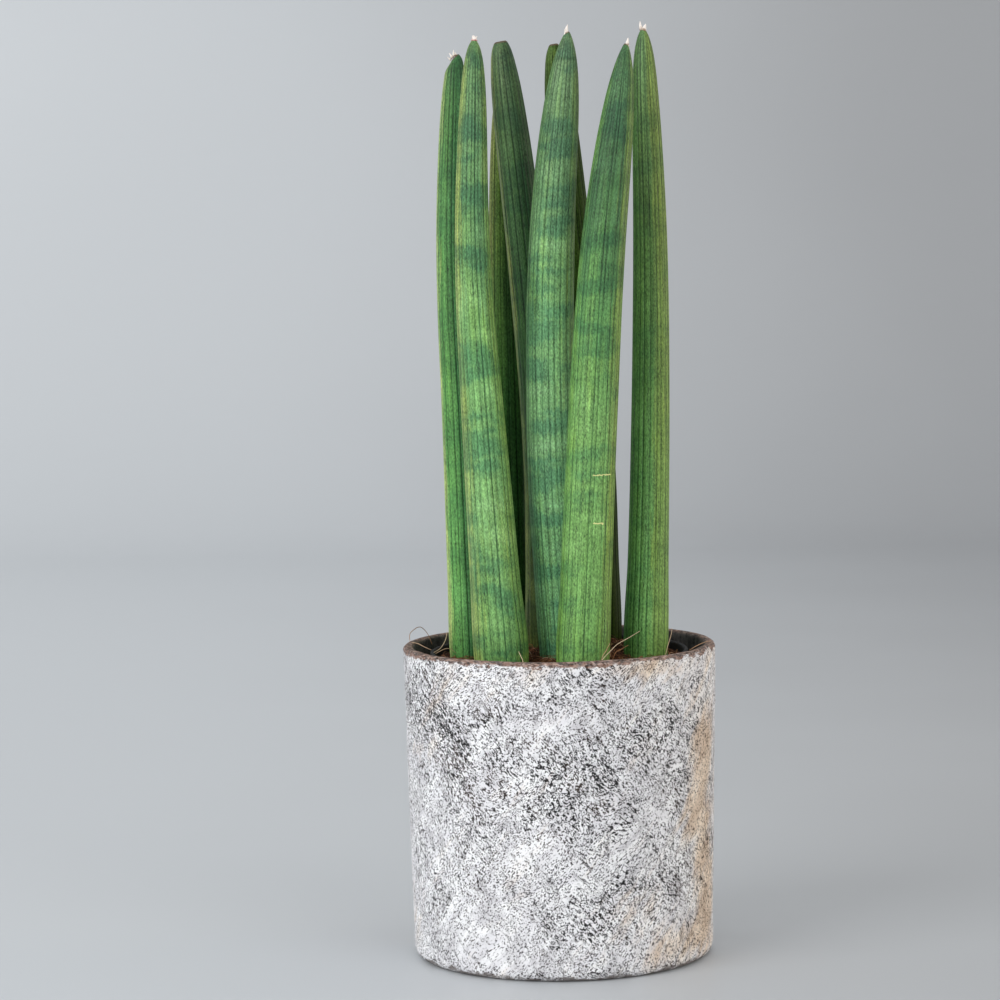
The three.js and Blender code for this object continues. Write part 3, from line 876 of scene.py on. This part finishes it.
def leaf_skin(node, look, length):
    """Waxy green with combed bluish bands, dark grooves, fine streaks, painted light and shade on its sides
    (lighter, olive or darker) and a dry end.
    """
    finish = Finish(node + "_skin")
    skin = finish.attribute("skin", "Vector")
    groove = finish.attribute("groove")
    weight = finish.attribute("weight")
    dry = finish.attribute("dry")
    cosine, sine, below = finish.parts(skin)
    seed = look["seed"]

    comb = finish.noise(finish.stretch(skin, (8, 8, 14), (seed, 0, 0)), 1, 3, 0.65)
    along = below + (comb - 0.5) * (9 * MM)
    bands = finish.noise(finish.join(cosine * 0.35, sine * 0.35, along * 92 + seed), 1, 2, 0.6)
    patches = finish.noise(finish.stretch(skin, (1.3, 1.3, 20), (0, seed, 0)), 1, 2, 0.5)
    streaks = finish.noise(finish.stretch(skin, (8, 8, 45), (0, 0, seed)), 1, 3, 0.6)
    hairs = finish.noise(finish.stretch(skin, (10, 10, 28), (seed, seed, 0)), 1, 2, 0.65)
    place = finish.place()
    grain = finish.noise(finish.stretch(place, (1, 1, 0.45)), 1900, 1, 0.6)
    mottle = finish.noise(place, 560, 2, 0.6)

    # These greens carry painted light and shade as well as the leaf's own colour.
    greens_with_painted_light_and_shade = look["greens_with_painted_light_and_shade"]
    stops = [(1 - i / (len(greens_with_painted_light_and_shade) - 1), paint(*green)) for i, green in enumerate(greens_with_painted_light_and_shade)]
    level = below / length + (patches - 0.5) * 0.22 + (comb - 0.5) * 0.1
    colour = finish.node("ShaderNodeValToRGB", {"stops": list(reversed(stops))}, {"Fac": level})

    def facing(turn):
        way = math.radians(turn)
        return cosine * math.cos(way) + sine * math.sin(way)

    # Painted light and shade: each listed side is made lighter, more olive or darker, as if lit on one side
    # and shaded on the other.
    for turn, start, green, share in look["lit_and_shaded_sides"]:
        side = (facing(turn) + (streaks - 0.5) * 0.7 + (patches - 0.5) * 0.4).step(start, min(1, start + 0.4))
        colour = finish.mix(side * share, colour, paint(*green))
    olive = (streaks * 0.4 + patches * 0.6).step(0.48, 0.64)
    colour = finish.mix(olive * 0.35, colour, (1.25, 1.05, 0.62), "MULTIPLY")
    dark_band = bands.step(0.48, 0.63) * look["bands"]
    colour = finish.mix(dark_band * 0.85, colour, (0.46, 0.62, 0.76), "MULTIPLY")
    pale_band = bands.step(0.46, 0.30) * look["bands"]
    colour = finish.mix(pale_band * 0.8, colour, (1.38, 1.28, 1.42), "MULTIPLY")

    cap_length, cap_share = look["cap"]
    cap = along.step(cap_length * MM, (cap_length - 3) * MM)
    colour = finish.mix(cap * cap_share, colour, (0.5, 0.62, 0.62), "MULTIPLY")
    if "ring" in look:
        ring = (below - look["ring"] * MM + (streaks - 0.5) * (2 * MM)).size().step(1.3 * MM, 0.3 * MM)
        colour = finish.mix(ring * 0.6, colour, (0.45, 0.55, 0.5), "MULTIPLY")

    tone = (streaks - 0.5) * 0.7 + (hairs - 0.5) * 1.7 + (grain - 0.5) * 2.0 + (mottle - 0.5) * 0.4
    colour = finish.scale(colour, tone + 1)

    broken = finish.noise(finish.stretch(skin, (6, 6, 90), (seed, 3, 0)), 1, 2, 0.6).step(0.3, 0.55)
    line = groove.step(0.46 * MM, 0.16 * MM) * weight * (broken * 0.35 + 0.65)
    line = line * below.step(1 * MM, 7 * MM)
    colour = finish.mix(line * 0.92, colour, (0.26, 0.34, 0.32), "MULTIPLY")
    for scar_below, scar_turn, half in SCARS.get(node, []):
        mark = (below - scar_below * MM + (mottle - 0.5) * (2.2 * MM)).size().step(0.36 * MM, 0.16 * MM)
        spread = facing(scar_turn).step(math.cos(math.radians(half)), math.cos(math.radians(half * 0.8)))
        colour = finish.mix(mark * spread * 0.9, colour, paint(232, 228, 156))

    soil_line = below.step(length - 21 * MM, length - 15 * MM)
    colour = finish.mix(soil_line * 0.2, colour, paint(84, 92, 48))
    husk = finish.mix(grain, paint(52, 48, 38), paint(118, 104, 84))
    husk_end = paint(*look.get("husk", (156, 130, 108)))
    papery = finish.mix((dry + (mottle - 0.5)).step(1.0, 1.45), husk_end, paint(240, 231, 222))
    colour = finish.mix(dry.step(0.15, 0.8), colour, husk)
    colour = finish.mix(dry.step(0.99, 1.03), colour, papery)

    height = (hairs - 0.5) * 0.4 + (streaks - 0.5) * 0.3 + (grain - 0.5) * 0.9 - line * 0.6
    normal = finish.bump(height, 0.2 * MM, 0.6)
    rough = 0.48 + (grain - 0.5) * 0.2 + dark_band * 0.06 + dry.step(0.3, 0.9) * 0.3
    return finish.close(look.get("gloss", 0.22), colour, rough, normal)


# ---------------- compost

BED_RINGS = 74
BED_COLUMNS = 220
BED_EDGE_FADE = 2 * MM  # how far in from the edge the lumps start
BED_WALL_DROP = 16 * MM
FIBRE_COUNT = 1500
FIBRE_STEPS = 8


def bed_surface(node):
    """Reads the height of the CAD bed's top anywhere, smoothing over the leaves' sockets."""
    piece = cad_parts[node]
    tree = BVHTree.FromPolygons(
        [v.co.copy() for v in piece.data.vertices], [tuple(p.vertices) for p in piece.data.polygons]
    )
    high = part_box(node)[1]
    edge = high.z - 5 * MM

    def height(x, y):
        hit = tree.ray_cast(Vector((x, y, high.z + 0.01)), Vector((0, 0, -1)))[0]
        if hit is not None and hit.z > edge:
            return hit.z
        near = [tree.ray_cast(Vector((x + dx * MM, y + dy * MM, high.z + 0.01)), Vector((0, 0, -1)))[0]
                for dx, dy in ((14, 0), (-14, 0), (0, 14), (0, -14))]
        seen = [p.z for p in near if p is not None and p.z > edge]
        return sum(seen) / len(seen) if seen else edge + 0.5 * MM

    return height


def crumbs(x, y):
    """Lumps and tufts in the compost's surface, in metres."""
    spot = Vector((x, y, 0))
    tuft = 1 - abs(noise.noise(spot * 210 + Vector((5, 0, 0))))
    return (0.9 * noise.noise(spot * 95) + 0.55 * noise.noise(spot * 330) + 0.5 * tuft - 0.55) * MM


def compost_bed(node, height):
    low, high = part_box(node)
    radius = high.x
    foot = radius_between(node, low.z - 0.1 * MM, low.z + 0.1 * MM)[1]
    points = []
    for i in range(BED_RINGS, 0, -1):
        reach = radius * i / BED_RINGS
        fade = min(1.0, (radius - reach) / BED_EDGE_FADE)
        for x, y, _ in ring_points(reach, 0, BED_COLUMNS):
            points.append((x, y, height(x * 0.995, y * 0.995) + crumbs(x, y) * fade))
    wall = []
    for reach, level in ((foot, low.z), (radius, high.z - BED_WALL_DROP)):
        wall += ring_points(reach, level, BED_COLUMNS)
    points = wall + points
    rows = BED_RINGS + 2
    faces = grid_faces(rows, BED_COLUMNS)
    points += [(0, 0, low.z), (0, 0, height(0, 0))]
    under, over = len(points) - 2, len(points) - 1
    last = (rows - 1) * BED_COLUMNS
    faces += fan_faces(0, BED_COLUMNS, under, True) + fan_faces(last, BED_COLUMNS, over, False)
    piece = make_piece("finished_" + node, points, faces, compost())
    stand_for(piece, node)


def compost():
    """Dark red-brown coir compost, with fibres and crumbs."""
    finish = Finish("compost")
    place = finish.place()
    clump = finish.noise(place, 130, 4, 0.65)
    crumb = finish.noise(place, 620, 3, 0.65, 0.5)
    thread = finish.noise(place, 300, 2, 0.5, 2.5)
    lines = (thread - 0.5).size().step(0.03, 0.008)
    colour = finish.mix(clump.step(0.35, 0.65), paint(34, 20, 13), paint(78, 46, 30))
    colour = finish.mix(crumb.step(0.5, 0.7) * 0.7, colour, paint(112, 70, 46))
    colour = finish.mix(lines * 0.5, colour, paint(140, 96, 64))
    normal = finish.bump(crumb + lines * 0.5, 0.9 * MM, 0.9)
    return finish.close(0.2, colour, 0.82 + crumb * 0.15, normal)


def coir(name):
    """Dry coconut fibre, its tone drawn for each fibre."""
    finish = Finish(name)
    tone = finish.attribute("tone")
    place = finish.place()
    fleck = finish.noise(place, 700, 2, 0.6)
    ramp = [
        (0.0, paint(58, 32, 20)), (0.35, paint(112, 66, 42)),
        (0.65, paint(160, 112, 74)), (1.0, paint(222, 198, 168)),
    ]
    colour = finish.node("ShaderNodeValToRGB", {"stops": ramp}, {"Fac": tone + (fleck - 0.5) * 0.3})
    normal = finish.bump(fleck, 0.1 * MM, 0.5)
    return finish.close(0.3, colour, 0.7 + fleck * 0.2, normal)


def loose_fibres(height, stems, radius):
    """Short coir fibres lying on the compost, some curling up."""
    draw = random.Random(71)
    points, faces, tones = [], [], []
    made = 0
    while made < FIBRE_COUNT:
        reach = radius * math.sqrt(draw.random()) * 0.975
        angle = draw.uniform(0, 2 * math.pi)
        x, y = reach * math.cos(angle), reach * math.sin(angle)
        heading = draw.uniform(0, 2 * math.pi)
        curl = draw.gauss(0, 130)
        length = draw.uniform(4, 15) * MM
        arch = max(0.0, draw.gauss(0.5, 0.9)) * MM
        thickness = draw.uniform(0.10, 0.24) * MM
        path = []
        for i in range(FIBRE_STEPS):
            share = i / (FIBRE_STEPS - 1)
            lift = arch * math.sin(math.pi * share)
            path.append(Vector((x, y, height(x, y) + crumbs(x, y) * 0.8 + 0.15 * MM + lift)))
            x += math.cos(heading) * length / FIBRE_STEPS
            y += math.sin(heading) * length / FIBRE_STEPS
            heading += curl * length / FIBRE_STEPS + draw.gauss(0, 0.12)
        if any(math.hypot(p.x, p.y) > radius * 0.99 for p in path):
            continue
        if any((Vector((p.x, p.y)) - middle).length < girth for p in path for middle, girth in stems):
            continue
        radii = [thickness * (1 - 0.55 * abs(2 * i / (FIBRE_STEPS - 1) - 1)) for i in range(FIBRE_STEPS)]
        bit_points, bit_faces = tube(path, radii, 4)
        start = len(points)
        points += bit_points
        faces += [tuple(start + k for k in face) for face in bit_faces]
        tones += [min(1.0, max(0.0, draw.gauss(0.38, 0.2)))] * len(bit_points)
        made += 1
    piece = make_piece("loose_coir_fibres", points, faces, coir("coir_fibre"), tone=tones)
    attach(piece, "root")


# ---------------- loose strands

STRAND_SIDES = 6  # of the CAD strand
STRAND_RADIUS = 0.16 * MM


def strand_line(node):
    """The middle line of a CAD strand, ring by ring from one end."""
    solid = bmesh.new()
    solid.from_mesh(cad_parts[node].data)
    bmesh.ops.remove_doubles(solid, verts=solid.verts, dist=0.000001)
    solid.verts.ensure_lookup_table()
    middle = sum((v.co for v in solid.verts), Vector()) / len(solid.verts)
    end = max(solid.verts, key=lambda v: (v.co - middle).length)
    level = sorted(solid.verts, key=lambda v: (v.co - end.co).length)[:STRAND_SIDES]
    seen = set(level)
    line = []
    while level:
        line.append(sum((v.co for v in level), Vector()) / len(level))
        ahead = {e.other_vert(v) for v in level for e in v.link_edges} - seen
        seen |= ahead
        level = sorted(ahead, key=lambda v: v.index)
    solid.free()
    return line


def strand(node, tone, material):
    """One loose strand: thin, tapered to both ends."""
    line = strand_line(node)
    knots = np.arange(len(line))
    at = np.linspace(0, len(line) - 1, 4 * len(line))
    path = np.stack([through(knots, [p[axis] for p in line], at) for axis in range(3)], axis=1)
    share = at / at[-1]
    radii = STRAND_RADIUS * (0.35 + 0.65 * np.sin(np.pi * np.clip(share * 0.9 + 0.08, 0, 1)) ** 0.6)
    points, faces = tube(path, radii, 8)
    piece = make_piece("finished_" + node, points, faces, material, tone=[tone] * len(points))
    stand_for(piece, node)


# ---------------- the plant

cover_pot("cover_pot")
grow_pot("grow_pot")
bed_height = bed_surface("compost_bed")
compost_bed("compost_bed", bed_height)
stems = []
for leaf_name, leaf_look in LEAVES.items():
    leaf(leaf_name, leaf_look)
    bed_ring = leaf_rings(leaf_name, leaf_look)[1]
    stems.append((Vector((bed_ring[1], bed_ring[2])), bed_ring[3] + 0.2 * MM))
loose_fibres(bed_height, stems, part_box("compost_bed")[1].x)
dry_coir = coir("dry_coir_strand")
strand_tones = [0.95, 0.85, 1.1, 0.75, 0.6, 0.9, 0.95, 0.7, 0.85, 0.75]
for strand_number, strand_tone in enumerate(strand_tones, 1):
    strand(f"coir_strand_{strand_number}", strand_tone, dry_coir)


# ---------------- camera, floor and light

CAMERA_PLACE = Vector((-0.0254, -1.4869, 0.3289))
CAMERA_DIP = 4.775
CAMERA_ROLL = 1.0065
CAMERA_LENS = 120
SENSOR = 36


def studio_camera():
    data = bpy.data.cameras.new("studio_camera")
    data.lens = CAMERA_LENS
    data.sensor_width = SENSOR
    camera = show("studio_camera", data)
    camera.location = CAMERA_PLACE
    level = Matrix.Rotation(math.radians(90 - CAMERA_DIP), 4, "X")
    camera.rotation_euler = (level @ Matrix.Rotation(math.radians(-CAMERA_ROLL), 4, "Z")).to_euler()
    bpy.context.scene.camera = camera


def plain_surface(name, painted_lit_side, painted_shade_side, rough):
    """A plain painted surface with painted shade: a little darker on its right, where less light falls."""
    finish = Finish(name)
    place = finish.place()
    drift = finish.noise(place, 3, 2, 0.5)
    across = finish.parts(place)[0] + (drift - 0.5) * 0.2
    # Painted shade: the colour darkens towards the right as if less light reached it.
    colour = finish.mix(across.step(-0.3, 0.6), painted_lit_side, painted_shade_side)
    return finish.close(0.5, colour, rough + drift * 0.02)


SWEEP_STEPS = 12
SWEEP_COLUMNS = 12


def floor_and_wall():
    """A pale floor that sweeps up into a plain wall behind."""
    half, front, back, bend, top = 1.9, -1.9, 2.4, 0.6, 2.6
    outline = [(front, 0), (back - bend, 0)]
    for i in range(1, SWEEP_STEPS + 1):
        turn = math.radians(90 * i / SWEEP_STEPS)
        outline.append((back - bend + bend * math.sin(turn), bend - bend * math.cos(turn)))
    outline.append((back, top))
    across = [-half + 2 * half * j / SWEEP_COLUMNS for j in range(SWEEP_COLUMNS + 1)]
    points = [(x, y, z) for y, z in outline for x in across]
    faces = []
    for i in range(len(outline) - 1):
        for j in range(SWEEP_COLUMNS):
            a = i * len(across) + j
            faces.append((a, a + 1, a + len(across) + 1, a + len(across)))
    # The sweep's right side is made darker by painted shade.
    pale = plain_surface("pale_studio", paint(198, 202, 205), paint(168, 170, 172), 0.42)
    sweep = make_piece("studio_sweep", points, faces, pale)


def soft_light(name, place, aim, width, power, colour):
    data = bpy.data.lights.new(name, "AREA")
    data.shape = "RECTANGLE"
    data.size = width
    data.size_y = width
    data.energy = power
    data.color = colour
    light = show(name, data)
    light.location = place
    light.rotation_euler = (Vector(aim) - Vector(place)).to_track_quat("-Z", "Y").to_euler()


def studio_light():
    middle = (0, 0, 0.2)
    soft_light("window_light", (-1.5, -1.3, 1.1), middle, 1.4, 25, (0.985, 0.99, 1.0))
    soft_light("room_light", (1.3, -1.8, 1.0), middle, 1.6, 11, (1.0, 0.97, 0.93))
    soft_light("lamp_glow", (1.4, 0.3, 0.35), middle, 0.5, 3, (1.0, 0.82, 0.6))
    soft_light("wall_wash", (-1.6, 1.0, 1.2), (-0.9, 2.4, 0.5), 0.8, 8, (1.0, 1.0, 1.0))
    world = bpy.data.worlds.new("studio_air")
    world.use_nodes = True
    backdrop = world.node_tree.nodes["Background"]
    backdrop.inputs["Color"].default_value = (0.97, 0.98, 1.0, 1)
    backdrop.inputs["Strength"].default_value = 0.72
    bpy.context.scene.world = world


studio_camera()
floor_and_wall()
studio_light()
bpy.context.scene.view_settings.view_transform = "Standard"
